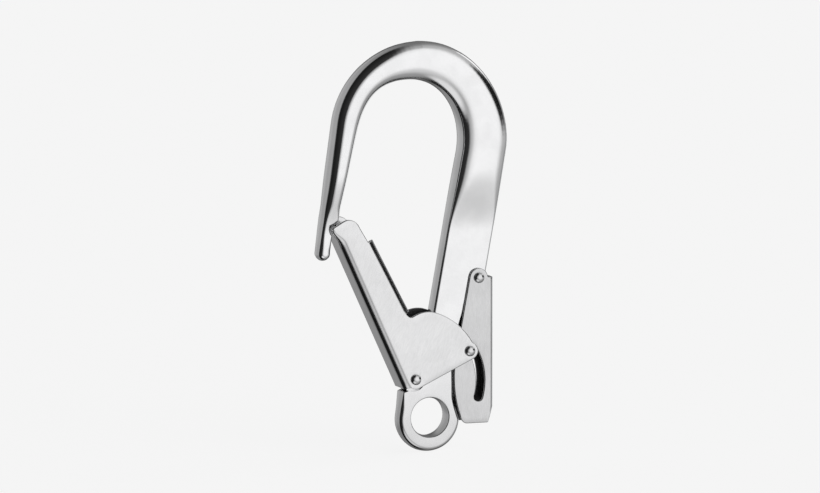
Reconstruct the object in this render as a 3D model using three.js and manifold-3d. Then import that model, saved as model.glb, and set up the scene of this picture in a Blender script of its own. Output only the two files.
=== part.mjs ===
// Double-action scaffold hook: forged hook body, spring gate and safety lever.
// Millimetres, +Z up along the hook, +X towards the shank side, -Y towards the front face.
// Outlines are drawn in the hook's own plane (X, Z) with the eye's centre at (0, 0).

import * as THREE from 'three';
import { mergeVertices } from 'three/addons/utils/BufferGeometryUtils.js';
import Module from 'manifold-3d';

const wasm = await Module();
wasm.setup();

// ---- driving dimensions -------------------------------------------------

const BODY_THICKNESS = 11;
const BODY_EDGE_RADIUS = 2.4;
const BOW_THICKNESS = 18;
const BOW_SWELL = { from: 102, to: 138, layers: 6 };   // heights over which the flat shank swells

const EYE_OUTER = { z: -1.2, radius: 18.1 };   // set a little low, so the ring is thickest underneath
const EYE_HOLE_RADIUS = 10.5;
const EYE_EDGE = 0.5;              // countersink at each face of the eye

const GATE_PIVOT = { x: -9.7, z: 22 };
const GATE_LEAN = 24.5;            // degrees the closed gate leans towards the nose
const GATE_OPENING = 40;           // degrees of travel, one short of the web meeting the shank
const GATE_WIDTH = 19;             // over the two cheeks
const GATE_SHEET = 2;
const GATE_BEND_RADIUS = 3.5;      // outside of the bend
const GATE_WEB_OFFSET = 8.1;       // pivot to the web's outer face
const GATE_FAN_RADIUS = 38.5;
const LOCK_PIN_DISTANCE = 34.8;    // gate pivot to lock pin, square to the web

const LEVER_PIVOT = { x: 28.07, z: 76.63 };
const LEVER_PRESS = 4;             // degrees the lever swings in
const LEVER_WIDTH = 14.5;
const LEVER_SHEET = 1.5;
const LEVER_BEND_RADIUS = 2.5;
const LEVER_WEB_OFFSET = 8.7;      // lever pivot to the web's outer face
const SLOT_HALF_WIDTH = 2.65;

const RIVET_HEAD_RADIUS = 2.95;
const RIVET_HEAD_HEIGHT = 2;
const RIVET_SHANK_RADIUS = 1.9;
const LOCK_PIN_RADIUS = 2.3;
const BUSH_RADIUS = 2.8;
const RUNNING_GAP = 0.2;           // radial, every pin in its hole
const HEAD_GAP = 0.1;              // under each rivet head

const SPRING_POCKET = { radius: 7.2, floor: 3.5 };   // floor measured from the mid-plane
const SPRING_CLEARANCE = 0.2;      // between the first coil and the pocket's floor
const GATE_SPRING = { wire: 1.1, radius: 4.7, pitch: 1.2, turns: 2, bridgeHeight: 17, tailLength: 3.5 };
const LEVER_SPRING = { wire: 0.9, radius: 2.7, turns: 6, z: 58, from: 14.6, to: 34.5 };
const LEVER_SPRING_SEAT = { radius: 3.6, floor: 14, mouth: 34 };

// How finely round stretches are divided.
const PLATE_CURVE_STEPS = 11;
const SHEET_CURVE_STEPS = 3;
const BAR_SIDES = 28;
const EYE_SIDES = 64;
const RIVET_SIDES = 24;
const DOME_STEPS = 4;

// ---- small helpers ------------------------------------------------------

const radians = (degrees) => THREE.MathUtils.degToRad(degrees);

function toManifold(geometry) {
  geometry.deleteAttribute('normal');
  geometry.deleteAttribute('uv');
  const merged = mergeVertices(geometry, 1e-4);
  return new wasm.Manifold(new wasm.Mesh({
    numProp: 3,
    vertProperties: new Float32Array(merged.attributes.position.array),
    triVerts: new Uint32Array(merged.index.array),
  }));
}

function toGeometry(manifold) {
  const mesh = manifold.getMesh();
  const geometry = new THREE.BufferGeometry();
  geometry.setAttribute('position', new THREE.BufferAttribute(new Float32Array(mesh.vertProperties), 3));
  geometry.setIndex(new THREE.BufferAttribute(new Uint32Array(mesh.triVerts), 1));
  geometry.computeVertexNormals();
  return geometry;
}

// The same outline as plain points, with no two neighbours closer than the given gap.
function pointOutline(shape, curveSegments, gap = 0.05) {
  const spaced = (points) => points.filter((p, i) => p.distanceTo(points.at(i - 1)) > gap);
  const { shape: outline, holes } = shape.extractPoints(curveSegments);
  const plain = new THREE.Shape(spaced(outline));
  plain.holes = holes.map((hole) => new THREE.Path(spaced(hole)));
  return plain;
}

// A plate drawn in (X, Z), spread evenly about the mid-plane, with rounded edges if asked for.
function plate(shape, thickness, edgeRadius = 0, middle = 0) {
  const geometry = new THREE.ExtrudeGeometry(pointOutline(shape, PLATE_CURVE_STEPS), {
    depth: thickness - 2 * edgeRadius,
    bevelEnabled: edgeRadius > 0,
    bevelThickness: edgeRadius,
    bevelSize: edgeRadius,
    bevelOffset: -edgeRadius,
    bevelSegments: 3,
  });
  geometry.translate(0, 0, edgeRadius - thickness / 2);
  geometry.rotateX(Math.PI / 2);
  geometry.translate(0, middle, 0);
  return toManifold(geometry);
}

// A bent-sheet section drawn in (X, Y), run upwards from z0 to z1.
function sheetRun(shape, z0, z1) {
  const geometry = new THREE.ExtrudeGeometry(pointOutline(shape, SHEET_CURVE_STEPS), {
    depth: z1 - z0,
    bevelEnabled: false,
  });
  geometry.translate(0, 0, z0);
  return toManifold(geometry);
}

// A round bar across the hook, along Y.
function crossBar(radius, halfLength, x = 0, z = 0) {
  const geometry = new THREE.CylinderGeometry(radius, radius, 2 * halfLength, BAR_SIDES);
  geometry.translate(x, 0, z);
  return toManifold(geometry);
}

// A slot between two points, drawn in (X, Z).
function slotShape(a, b, halfWidth) {
  const along = Math.atan2(b.z - a.z, b.x - a.x);
  const shape = new THREE.Shape();
  shape.absarc(b.x, b.z, halfWidth, along - Math.PI / 2, along + Math.PI / 2, false);
  shape.absarc(a.x, a.z, halfWidth, along + Math.PI / 2, along + Math.PI * 1.5, false);
  shape.closePath();
  return shape;
}

// Turn a point about a centre, the way a positive joint angle turns it: the top goes to +X.
function turned(point, centre, degrees) {
  const c = Math.cos(radians(degrees));
  const s = Math.sin(radians(degrees));
  const dx = point.x - centre.x;
  const dz = point.z - centre.z;
  return { x: centre.x + dx * c + dz * s, z: centre.z - dx * s + dz * c };
}

function wireAlong(points, wire, steps) {
  const section = new THREE.Shape();
  section.absarc(0, 0, wire / 2, 0, Math.PI * 2, false);
  return new THREE.ExtrudeGeometry(section, {
    steps,
    curveSegments: 4,
    extrudePath: new THREE.CatmullRomCurve3(points, false, 'centripetal'),
  });
}

// ---- finishes -----------------------------------------------------------

const steel = (color, roughness) => new THREE.MeshStandardMaterial({ color, roughness, metalness: 1 });

const FORGED = steel(0xc9cacb, 0.24);
const SHEET = steel(0xbfc0c1, 0.3);
const LEVER_PLATE = steel(0xb9babb, 0.32);
const PIN = steel(0xb0b1b2, 0.22);
const BUSH = steel(0xa8a9aa, 0.4);
const WIRE = steel(0x8d9093, 0.35);

function part(name, shape, material) {
  const geometry = shape instanceof THREE.BufferGeometry ? shape : toGeometry(shape);
  const mesh = new THREE.Mesh(geometry, material);
  mesh.name = name;
  return mesh;
}

// ---- hook body ----------------------------------------------------------

// Clockwise from the top of the bow: shank, lever lug, waist, eye, gate lug, inside edge, nose.
function bodyOutline() {
  const shape = new THREE.Shape();
  shape.moveTo(-4.87, 208.2);
  shape.bezierCurveTo(29.4, 208.2, 49.8, 171.6, 45.1, 146);
  shape.lineTo(38.8, 108);
  shape.lineTo(33.07, 76.6);
  shape.absarc(LEVER_PIVOT.x, LEVER_PIVOT.z, 5, 0, radians(-110), true);
  shape.bezierCurveTo(21, 58, 14.5, 44, 14, 30);
  shape.lineTo(14.6, 11);
  shape.bezierCurveTo(15, 8.5, 16.2, 4, 18.09, -1.5);
  shape.absarc(0, EYE_OUTER.z, EYE_OUTER.radius, radians(-1), radians(-190), true);
  shape.lineTo(-15.9, 14.9);
  shape.lineTo(-12.9, 16.2);
  shape.absarc(GATE_PIVOT.x, GATE_PIVOT.z, 5.6, radians(225), radians(153.2), true);
  shape.lineTo(1.2, 56);
  shape.lineTo(10.7, 108);
  shape.lineTo(18.3, 146);
  shape.bezierCurveTo(22.2, 167.9, 9, 187.4, -11.5, 187.4);
  shape.bezierCurveTo(-36.6, 187.4, -40.2, 166.1, -43.1, 154);
  shape.lineTo(-52.8, 110.5);
  shape.absarc(-55.6, 105.9, 2.2, radians(60), radians(245), false);
  shape.absarc(-61, 93, 3.9, radians(-3), radians(-188), true);
  shape.absellipse(-4.87, 157.48, 49.9, 50.72, radians(172), radians(90), true, 0);
  return shape;
}

// The eye's bore with a cone opening out at each face.
function eyeCutter() {
  const past = 1;
  const depth = EYE_EDGE + past;
  const cone = new THREE.CylinderGeometry(EYE_HOLE_RADIUS + depth, EYE_HOLE_RADIUS, depth, EYE_SIDES);
  cone.translate(0, (BODY_THICKNESS + past - EYE_EDGE) / 2, 0);
  const back = toManifold(cone);
  const bore = new THREE.CylinderGeometry(EYE_HOLE_RADIUS, EYE_HOLE_RADIUS, BODY_THICKNESS, EYE_SIDES);
  return toManifold(bore).add(back).add(back.rotate([180, 0, 0]));
}

// How many times thicker the body is at a height than along its shank.
function swell(z) {
  const share = THREE.MathUtils.smoothstep(z, BOW_SWELL.from, BOW_SWELL.to);
  return 1 + share * (BOW_THICKNESS / BODY_THICKNESS - 1);
}

function thickened(layer) {
  const geometry = toGeometry(layer);
  const position = geometry.attributes.position;
  for (let i = 0; i < position.count; i += 1) {
    position.setY(i, position.getY(i) * swell(position.getZ(i)));
  }
  return toManifold(geometry);
}

// The body's plate is cut into level layers, which are thickened one by one and joined again.
function swollenPlate() {
  const flat = plate(bodyOutline(), BODY_THICKNESS, BODY_EDGE_RADIUS);
  const layerHeight = (BOW_SWELL.to - BOW_SWELL.from) / BOW_SWELL.layers;
  let body = flat.trimByPlane([0, 0, -1], -BOW_SWELL.from);
  let rest = flat.trimByPlane([0, 0, 1], BOW_SWELL.from);
  for (let i = 1; i <= BOW_SWELL.layers; i += 1) {
    const top = BOW_SWELL.from + i * layerHeight;
    body = body.add(thickened(rest.trimByPlane([0, 0, -1], -top)));
    rest = rest.trimByPlane([0, 0, 1], top);
  }
  return body.add(thickened(rest));
}

function hookBody() {
  let body = swollenPlate().subtract(eyeCutter());
  const pocketReach = 5;
  const pocket = crossBar(SPRING_POCKET.radius, pocketReach, GATE_PIVOT.x, GATE_PIVOT.z);
  for (const side of [-1, 1]) {
    body = body.subtract(pocket.translate([0, side * (SPRING_POCKET.floor + pocketReach), 0]));
  }
  body = body.subtract(crossBar(BUSH_RADIUS + RUNNING_GAP, BODY_THICKNESS, GATE_PIVOT.x, GATE_PIVOT.z));
  const rivetBore = RIVET_SHANK_RADIUS + RUNNING_GAP;
  body = body.subtract(crossBar(rivetBore, BODY_THICKNESS, LEVER_PIVOT.x, LEVER_PIVOT.z));

  const { radius, floor, mouth } = LEVER_SPRING_SEAT;
  const seat = new THREE.CylinderGeometry(radius, radius, mouth - floor, BAR_SIDES);
  seat.rotateZ(Math.PI / 2);
  seat.translate((floor + mouth) / 2, 0, LEVER_SPRING.z);
  return body.subtract(toManifold(seat));
}

// ---- gate: origin at its pivot, web along +Z ----------------------------

// The flat of one cheek, between the bend at the web and the bend at the lip.
function cheekOutline() {
  const bend = GATE_BEND_RADIUS - GATE_WEB_OFFSET;
  const pinCorner = 4.9;
  const shape = new THREE.Shape();
  shape.moveTo(bend, 94.5);
  shape.lineTo(bend, -2.8);
  shape.absarc(0, 0, 5.4, radians(212), radians(271), false);
  shape.absarc(LOCK_PIN_DISTANCE, 0, pinCorner, radians(-89), radians(43.7), false);
  shape.absarc(0, 0, GATE_FAN_RADIUS, radians(5.1), radians(50), false);
  shape.quadraticCurveTo(19.4, 33.2, 12.8, 32.5);
  shape.quadraticCurveTo(11.4, 32.5, 11.2, 34.6);
  shape.lineTo(9.4, 35.6);
  shape.lineTo(6.9, 81.8);
  shape.absarc(-1, 92, 6.8, radians(-5), radians(90), false);
  shape.lineTo(-8.6, 98.4);
  shape.lineTo(-8.6, 95.6);
  shape.closePath();
  return shape;
}

// Half of the web's channel section and its mirror image, joined across the web.
function webSection() {
  const outer = GATE_WIDTH / 2;
  const centre = { x: GATE_BEND_RADIUS - GATE_WEB_OFFSET, y: outer - GATE_BEND_RADIUS };
  const inside = GATE_BEND_RADIUS - GATE_SHEET;
  const overlap = 0.5;
  const shape = new THREE.Shape();
  shape.moveTo(centre.x + overlap, outer - GATE_SHEET);
  shape.lineTo(centre.x + overlap, outer);
  shape.absarc(centre.x, centre.y, GATE_BEND_RADIUS, radians(90), radians(180), false);
  shape.absarc(centre.x, -centre.y, GATE_BEND_RADIUS, radians(180), radians(270), false);
  shape.lineTo(centre.x + overlap, -outer);
  shape.lineTo(centre.x + overlap, GATE_SHEET - outer);
  shape.absarc(centre.x, -centre.y, inside, radians(270), radians(180), true);
  shape.absarc(centre.x, centre.y, inside, radians(180), radians(90), true);
  shape.closePath();
  return shape;
}

// One curled lip on the gate's inner side, its outer edge on x = 0.
function lipSection(side) {
  const outer = GATE_WIDTH / 2;
  const centre = { x: -GATE_BEND_RADIUS, y: side * (outer - GATE_BEND_RADIUS) };
  const clockwise = side > 0;
  const overlap = 0.6;
  const shape = new THREE.Shape();
  shape.moveTo(centre.x - overlap, side * (outer - GATE_SHEET));
  shape.lineTo(centre.x - overlap, side * outer);
  shape.absarc(centre.x, centre.y, GATE_BEND_RADIUS, radians(90 * side), 0, clockwise);
  shape.absarc(centre.x, centre.y, GATE_BEND_RADIUS - GATE_SHEET, 0, radians(90 * side), !clockwise);
  shape.closePath();
  return shape;
}

function gate() {
  const cheekMiddle = (GATE_WIDTH - GATE_SHEET) / 2;
  const lipFoot = { x: 12.9, z: 35.6 };
  const lipTop = { x: 10.4, z: 81.8 };
  const lipLean = Math.atan2(lipTop.x - lipFoot.x, lipTop.z - lipFoot.z) * 180 / Math.PI;
  const lipLength = Math.hypot(lipTop.x - lipFoot.x, lipTop.z - lipFoot.z);

  let channel = sheetRun(webSection(), -2.2, 95.4);
  for (const side of [-1, 1]) {
    const lip = sheetRun(lipSection(side), 0, lipLength)
      .rotate([0, lipLean, 0])
      .translate([lipFoot.x, 0, lipFoot.z]);
    channel = channel.add(plate(cheekOutline(), GATE_SHEET, 0, side * cheekMiddle)).add(lip);
  }
  const rivetHole = crossBar(RIVET_SHANK_RADIUS + RUNNING_GAP, GATE_WIDTH);
  return channel.subtract(rivetHole).subtract(rivetHole.translate([LOCK_PIN_DISTANCE, 0, 0]));
}

// ---- lock lever: origin at its pivot ------------------------------------

function leverOutline() {
  const shape = new THREE.Shape();
  shape.moveTo(LEVER_WEB_OFFSET, -71.2);
  shape.lineTo(LEVER_WEB_OFFSET, 0.2);
  shape.absarc(0, 0, 5.3, radians(2.2), radians(170), false);
  shape.lineTo(-13.5, -43.6);
  shape.bezierCurveTo(-15.4, -54, -14.7, -66, -11.1, -75.7);
  shape.quadraticCurveTo(-10.2, -80.4, -7, -80.8);
  shape.lineTo(5.4, -80.8);
  shape.closePath();
  return shape;
}

function leverSection() {
  const outer = LEVER_WIDTH / 2;
  const open = -20;
  const centre = { x: LEVER_WEB_OFFSET - LEVER_BEND_RADIUS, y: outer - LEVER_BEND_RADIUS };
  const inside = LEVER_BEND_RADIUS - LEVER_SHEET;
  const shape = new THREE.Shape();
  shape.moveTo(open, LEVER_SHEET - outer);
  shape.lineTo(open, -outer);
  shape.absarc(centre.x, -centre.y, LEVER_BEND_RADIUS, radians(-90), 0, false);
  shape.absarc(centre.x, centre.y, LEVER_BEND_RADIUS, 0, radians(90), false);
  shape.lineTo(open, outer);
  shape.lineTo(open, outer - LEVER_SHEET);
  shape.absarc(centre.x, centre.y, inside, radians(90), 0, true);
  shape.absarc(centre.x, -centre.y, inside, 0, radians(-90), true);
  shape.closePath();
  return shape;
}

const lockPin = {
  x: GATE_PIVOT.x + LOCK_PIN_DISTANCE * Math.cos(radians(GATE_LEAN)),
  z: GATE_PIVOT.z + LOCK_PIN_DISTANCE * Math.sin(radians(GATE_LEAN)),
};

// The main run is an arc about the gate's pivot while the lever is pressed in.
function slotMainRun() {
  const centre = turned(GATE_PIVOT, LEVER_PIVOT, -LEVER_PRESS);
  const top = radians(31);
  const bottom = radians(-15);
  const end = (angle) => ({
    x: centre.x + LOCK_PIN_DISTANCE * Math.cos(angle),
    z: centre.z + LOCK_PIN_DISTANCE * Math.sin(angle),
  });
  const shape = new THREE.Shape();
  shape.absarc(centre.x, centre.z, LOCK_PIN_DISTANCE + SLOT_HALF_WIDTH, bottom, top, false);
  shape.absarc(end(top).x, end(top).z, SLOT_HALF_WIDTH, top, top + Math.PI, false);
  shape.absarc(centre.x, centre.z, LOCK_PIN_DISTANCE - SLOT_HALF_WIDTH, top, bottom, true);
  shape.absarc(end(bottom).x, end(bottom).z, SLOT_HALF_WIDTH, bottom + Math.PI, bottom + Math.PI * 2, false);
  shape.closePath();
  return shape;
}

// Where the lock pin is, seen from the lever, once the gate has opened by a share of its travel.
function pinSeenByLever(share) {
  const pinNow = turned(lockPin, GATE_PIVOT, share * GATE_OPENING);
  return turned(pinNow, LEVER_PIVOT, -share * LEVER_PRESS);
}

function lockLever() {
  const atPivot = [-LEVER_PIVOT.x, 0, -LEVER_PIVOT.z];
  const across = LEVER_WIDTH + 2;
  const run = { bottom: -90, top: 10 };   // past both ends of the lever
  let lever = plate(leverOutline(), across).intersect(sheetRun(leverSection(), run.bottom, run.top));
  lever = lever.subtract(crossBar(RIVET_SHANK_RADIUS + RUNNING_GAP, LEVER_WIDTH));
  lever = lever.subtract(plate(slotMainRun(), across).translate(atPivot));
  const steps = 8;
  for (let i = 0; i < steps; i += 1) {
    const leg = slotShape(pinSeenByLever(i / steps), pinSeenByLever((i + 1) / steps), SLOT_HALF_WIDTH);
    lever = lever.subtract(plate(leg, across).translate(atPivot));
  }
  return lever;
}

// ---- rivets, bush and springs -------------------------------------------

// A pin with a domed head at each end; the necks pass through the outer sheets.
function rivet(outerWidth, shankRadius, neckRadius, neckLength) {
  const seat = outerWidth / 2 + HEAD_GAP;
  const neck = seat - neckLength;
  const half = [];
  for (let i = 0; i <= DOME_STEPS; i += 1) {
    const angle = (i / DOME_STEPS) * Math.PI / 2;
    half.push([RIVET_HEAD_RADIUS * Math.sin(angle), seat + RIVET_HEAD_HEIGHT * Math.cos(angle)]);
  }
  half.push([neckRadius, seat]);
  if (shankRadius > neckRadius) {
    half.push([neckRadius, neck]);
    half.push([shankRadius, neck]);
  }
  const lower = half.map(([r, y]) => [r, -y]).reverse();
  const profile = [...half, ...lower].reverse().map(([r, y]) => new THREE.Vector2(r, y));
  return new THREE.LatheGeometry(profile, RIVET_SIDES);
}

function bush() {
  const half = GATE_WIDTH / 2 - GATE_SHEET - HEAD_GAP;
  return crossBar(BUSH_RADIUS, half).subtract(crossBar(RIVET_SHANK_RADIUS + RUNNING_GAP, GATE_WIDTH));
}

// Two coils about the gate rivet, joined by a bridge that lies on the inside of the web.
function gateSpring() {
  const { wire, radius, pitch, turns, bridgeHeight, tailLength } = GATE_SPRING;
  const coilStart = SPRING_POCKET.floor + wire / 2 + SPRING_CLEARANCE;
  const outerY = coilStart + pitch * turns;
  const perTurn = 14;
  const tail = [1, 0.5].map((share) => [-radius, -tailLength * share, coilStart]);
  const coil = [];
  for (let i = 0; i <= turns * perTurn; i += 1) {
    const angle = Math.PI - (i / perTurn) * 2 * Math.PI;
    coil.push([radius * Math.cos(angle), radius * Math.sin(angle), coilStart + pitch * i / perTurn]);
  }
  const legDrift = 0.5;    // the leg leans in a little on its way up
  const cornerInset = 1.8;
  const leg = [0.35, 0.65, 0.88].map((share) => [-radius, share * bridgeHeight, outerY - legDrift * share]);
  const corner = [-radius, bridgeHeight, outerY - cornerInset];
  const bridge = [-radius, bridgeHeight, outerY / 2];
  const half = [...tail, ...coil, ...leg, corner, bridge];
  const front = half.map(([x, z, y]) => new THREE.Vector3(x, -y, z));
  const back = half.map(([x, z, y]) => new THREE.Vector3(x, y, z)).reverse();
  return wireAlong([...front, ...back], wire, 116);
}

function leverSpring() {
  const { wire, radius, turns, z, from, to } = LEVER_SPRING;
  const perTurn = 12;
  const count = turns * perTurn;
  const points = [];
  for (let i = 0; i <= count; i += 1) {
    const angle = (i / perTurn) * 2 * Math.PI;
    const x = from + wire / 2 + (to - from - wire) * (i / count);
    points.push(new THREE.Vector3(x, radius * Math.cos(angle), z + radius * Math.sin(angle)));
  }
  return wireAlong(points, wire, 84);
}

// ---- assembly -----------------------------------------------------------

const hook = new THREE.Group();
hook.add(part('hook_body', hookBody(), FORGED));
hook.add(part('lever_spring', leverSpring(), WIRE));

const gateGroup = new THREE.Group();
gateGroup.position.set(GATE_PIVOT.x, 0, GATE_PIVOT.z);
gateGroup.rotation.y = radians(-GATE_LEAN);
gateGroup.add(part('gate', gate(), SHEET));
gateGroup.add(part('gate_rivet', rivet(GATE_WIDTH, RIVET_SHANK_RADIUS, RIVET_SHANK_RADIUS, 0), PIN));
gateGroup.add(part('gate_bush', bush(), BUSH));
gateGroup.add(part('gate_spring', gateSpring(), WIRE));
const pin = part('lock_pin', rivet(GATE_WIDTH, LOCK_PIN_RADIUS, RIVET_SHANK_RADIUS, GATE_SHEET + 0.3), PIN);
pin.position.set(LOCK_PIN_DISTANCE, 0, 0);
gateGroup.add(pin);
hook.add(gateGroup);

const leverGroup = new THREE.Group();
leverGroup.position.set(LEVER_PIVOT.x, 0, LEVER_PIVOT.z);
leverGroup.add(part('lock_lever', lockLever(), LEVER_PLATE));
leverGroup.add(part('lever_rivet', rivet(LEVER_WIDTH, RIVET_SHANK_RADIUS, RIVET_SHANK_RADIUS, 0), PIN));
hook.add(leverGroup);

// The part's origin is the middle of its width and thickness, level with the bottom of the eye.
const model = new THREE.Group();
model.add(hook);
const extent = new THREE.Box3().setFromObject(hook, true);
hook.position.set(-(extent.min.x + extent.max.x) / 2, 0, -extent.min.z);

export default model;
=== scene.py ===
"""Studio picture of a scaffold snap hook: forged body, pressed gate, safety lever, rivets and springs.

Shapes are drawn in millimetres in the hook's own plane, x to the right and z up, and y is the depth.
"""

import math

import bmesh
import bpy
import numpy as np
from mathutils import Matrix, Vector
from mathutils.geometry import delaunay_2d_cdt


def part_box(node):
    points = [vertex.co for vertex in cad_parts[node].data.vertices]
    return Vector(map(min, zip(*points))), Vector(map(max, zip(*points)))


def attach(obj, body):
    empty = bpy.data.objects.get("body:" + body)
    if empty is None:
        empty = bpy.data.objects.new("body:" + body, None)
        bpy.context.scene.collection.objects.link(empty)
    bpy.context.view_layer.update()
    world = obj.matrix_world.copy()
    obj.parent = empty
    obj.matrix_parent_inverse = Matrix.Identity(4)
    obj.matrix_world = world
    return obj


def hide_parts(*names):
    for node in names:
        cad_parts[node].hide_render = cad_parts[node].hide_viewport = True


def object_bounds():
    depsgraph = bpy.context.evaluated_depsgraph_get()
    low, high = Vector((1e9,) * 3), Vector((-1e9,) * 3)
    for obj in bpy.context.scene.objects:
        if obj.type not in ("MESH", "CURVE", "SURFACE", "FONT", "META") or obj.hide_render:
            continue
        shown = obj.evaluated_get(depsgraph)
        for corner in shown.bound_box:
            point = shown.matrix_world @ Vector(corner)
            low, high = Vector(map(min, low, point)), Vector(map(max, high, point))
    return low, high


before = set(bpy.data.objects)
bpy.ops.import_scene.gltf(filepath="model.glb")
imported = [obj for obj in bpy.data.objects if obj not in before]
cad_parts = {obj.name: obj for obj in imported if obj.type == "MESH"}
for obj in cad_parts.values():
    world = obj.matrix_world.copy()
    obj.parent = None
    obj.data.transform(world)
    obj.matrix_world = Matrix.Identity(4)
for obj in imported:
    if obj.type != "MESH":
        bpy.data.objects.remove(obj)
CAD_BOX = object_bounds()

MM = 0.001

# ---- places taken from the frame ---------------------------------------


def centre_mm(node):
    """Middle of a CAD node's box, as (x, z) in millimetres."""
    low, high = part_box(node)
    middle = (low + high) / (2 * MM)
    return np.array([middle.x, middle.z])


def half_depth_mm(node):
    """How far a CAD node reaches from the mid-plane, in millimetres."""
    low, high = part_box(node)
    return max(-low.y, high.y) / MM


GATE_PIVOT_FROM_EYE = (-9.7, 22.0)
LEVER_PIVOT_FROM_EYE = (28.07, 76.63)

GATE_PIVOT = centre_mm("gate_rivet")
LEVER_PIVOT = centre_mm("lever_rivet")
LOCK_PIN = centre_mm("lock_pin")
EYE_CENTRE = GATE_PIVOT - np.array(GATE_PIVOT_FROM_EYE)
PIN_DISTANCE = float(np.hypot(*(LOCK_PIN - GATE_PIVOT)))
GATE_LEAN = math.degrees(math.atan2(*(LOCK_PIN - GATE_PIVOT)[::-1]))

# ---- sizes, millimetres --------------------------------------------------

SHANK_THICKNESS = 11.0
BOW_THICKNESS = 2 * half_depth_mm("hook_body")
BOW_SWELL = (102.0, 138.0)         # heights over which the flat shank swells
BODY_SPACING = 0.5                 # between neighbouring points of the body's outline
SHANK_EDGE = 1.5                   # edge radius along the flat shank
EYE_EDGE = 2.3
BODY_DRAFT = 0.55                  # the forged sides bulge by this much at the mid-plane
BODY_SOFTENING = 1.6               # length over which the body's corners are rounded
EYE_BLEND = (10.0, 24.0)           # heights between which the eye's edge turns into the shank's
NOSE_BLEND = (10.0, 34.0)          # distances to the nose side between which the edge widens
NOSE_FROM = 60.0                   # the height above which it does
BOW_EDGE = {"reach": 9.5, "depth": 2.6, "nose_depth": 3.5}   # before the swell, which deepens it
EYE_HOLE_RADIUS = 10.5
EYE_HOLE_EDGE = 0.6
POCKET = {"radius": 7.2, "floor": 3.5}
SPRING_SEAT = {"radius": 3.6, "height": 58.0, "floor": 14.0, "mouth": 34.0}
BUSH_BORE = 3.0
RIVET_BORE = 2.1
PAST = 2.0                         # how far a cutter runs out of the surface

BODY_COLUMNS = (-66, 50, 2.0)      # points inside the flat faces: from, to, spacing
BODY_ROWS = (-20, 210, 2.0)
COARSE, FINE = 2.2, 0.55           # spacing on flat sheet, and over its bends
GATE_REACH, GATE_ROWS = 56, (-6, 100, COARSE)
LEVER_REACH, LEVER_ROWS = 34, (-82, 8, COARSE)
SHEET_SPACING = 0.5                # between neighbouring points of a sheet's outline
HOLE_POINTS = 40
EYE_POINTS = 150
CUTTER_SIDES = 96
BODY_SHARP_ANGLE = 35              # degrees; edges sharper than this aren't shaded smooth
RIVET_SHARP_ANGLE = 50

GATE = {"half": half_depth_mm("gate"), "web": 8.1, "bend": 4.3, "sheet": 2.0, "edge": 0.6}
GATE_TIP = {"from": 87.0, "to": 97.0, "bend": 1.3, "flare": 1.2}
FLARE_DEPTH = (5.8, 7.8)           # the tip's flare grows between these depths from the mid-plane
FLARE_END = (-7.0, -3.0)           # and dies out between these distances from the pivot
DARK_BELOW_TIP = 3.0               # the gate's painted shade inside ends this far under its tip
LIP = {"foot": (8.0, 35.6), "top": (5.5, 81.8), "shoulder": 6.9, "bend": 5.5, "turn": 62.0}
LIP_MARGIN = 0.45                  # the curl takes in this much past each end of the lip
LIP_COLUMNS = (4.6, 16.6, FINE)    # points under the lip, from the pivot
LEVER = {"half": half_depth_mm("lock_lever"), "web": 8.7, "bend": 2.5, "sheet": 1.5, "edge": 0.5}
LEVER_PRESS = 4.0                  # degrees
SLOT_HALF = 2.6
EASE_LENGTH = 4                    # over which a changed bend radius dies out on the cheek
LEAST_BEND = 0.3                   # radius on the inside of a tight bend

HEAD_RADIUS = 2.95
HEAD_HEIGHT = 2.0
HEAD_RIM = 0.25                    # height of the upright rim under the dome
HEAD_FOOT = {"corner": 0.05, "rise": 0.06, "inset": 0.3}   # how the rim turns in under the head
HEAD_GAP = 0.1
DOME_POINTS = 14
DOME_POWER = 0.96                  # below 1 the dome is fuller than an ellipse
SHANK_RADIUS = 1.9
PIN_RADIUS = 2.3
PIN_CHAMFER = 0.15
PIN_SHOULDER_GAP = 0.3             # between the gate's sheet and the lock pin's shoulder
RIVET_SIDES = 72
BUSH_BEVEL = 0.2
WELD_DISTANCE = 0.01               # joins a CAD piece's doubled points

# ---- outlines ------------------------------------------------------------

ARC_STEP = 3                       # degrees between points
CURVE_POINTS = 28
OVERSAMPLING = 4                   # points worked out for each one that is kept
FEWEST_POINTS = 24


class Path:
    """A line of points built from straight and curved stretches."""

    def __init__(self, x, z):
        self.points = [np.array([x, z], float)]

    def line(self, x, z):
        self.points.append(np.array([x, z], float))
        return self

    def arc(self, x, z, radius, start, stop):
        for angle in np.radians(np.linspace(start, stop, max(3, int(abs(stop - start) / ARC_STEP)))):
            self.line(x + radius * math.cos(angle), z + radius * math.sin(angle))
        return self

    def curve(self, *controls):
        """A quadratic or cubic Bezier from the last point; the final control is its end."""
        knots = [self.points[-1]] + [np.array(c, float) for c in controls]
        degree = len(knots) - 1
        for t in np.linspace(0, 1, CURVE_POINTS)[1:]:
            weights = [math.comb(degree, k) * t**k * (1 - t) ** (degree - k) for k in range(degree + 1)]
            self.points.append(sum(w * knot for w, knot in zip(weights, knots)))
        return self

    def array(self):
        return np.array(self.points)


def closed_loop(points, spacing, soften=0.0):
    """The closed outline with evenly spaced points, its corners rounded over a length of soften."""
    fine = spacing / OVERSAMPLING
    ends = np.vstack([points, points[:1]])
    lengths = np.hypot(*np.diff(ends, axis=0).T)
    along = np.concatenate([[0], np.cumsum(lengths)])
    count = max(FEWEST_POINTS, int(round(along[-1] / fine / OVERSAMPLING)) * OVERSAMPLING)
    at = np.arange(count) * along[-1] / count
    loop = np.column_stack([np.interp(at, along, ends[:, k]) for k in (0, 1)])
    reach = int(round(soften / fine / 2))
    if reach > 0:
        shifts = range(-reach, reach + 1)
        weights = np.array([reach + 1 - abs(s) for s in shifts], float)
        rolled = [w * np.roll(loop, s, axis=0) for w, s in zip(weights, shifts)]
        loop = sum(rolled) / weights.sum()
    return loop[::OVERSAMPLING]


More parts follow.
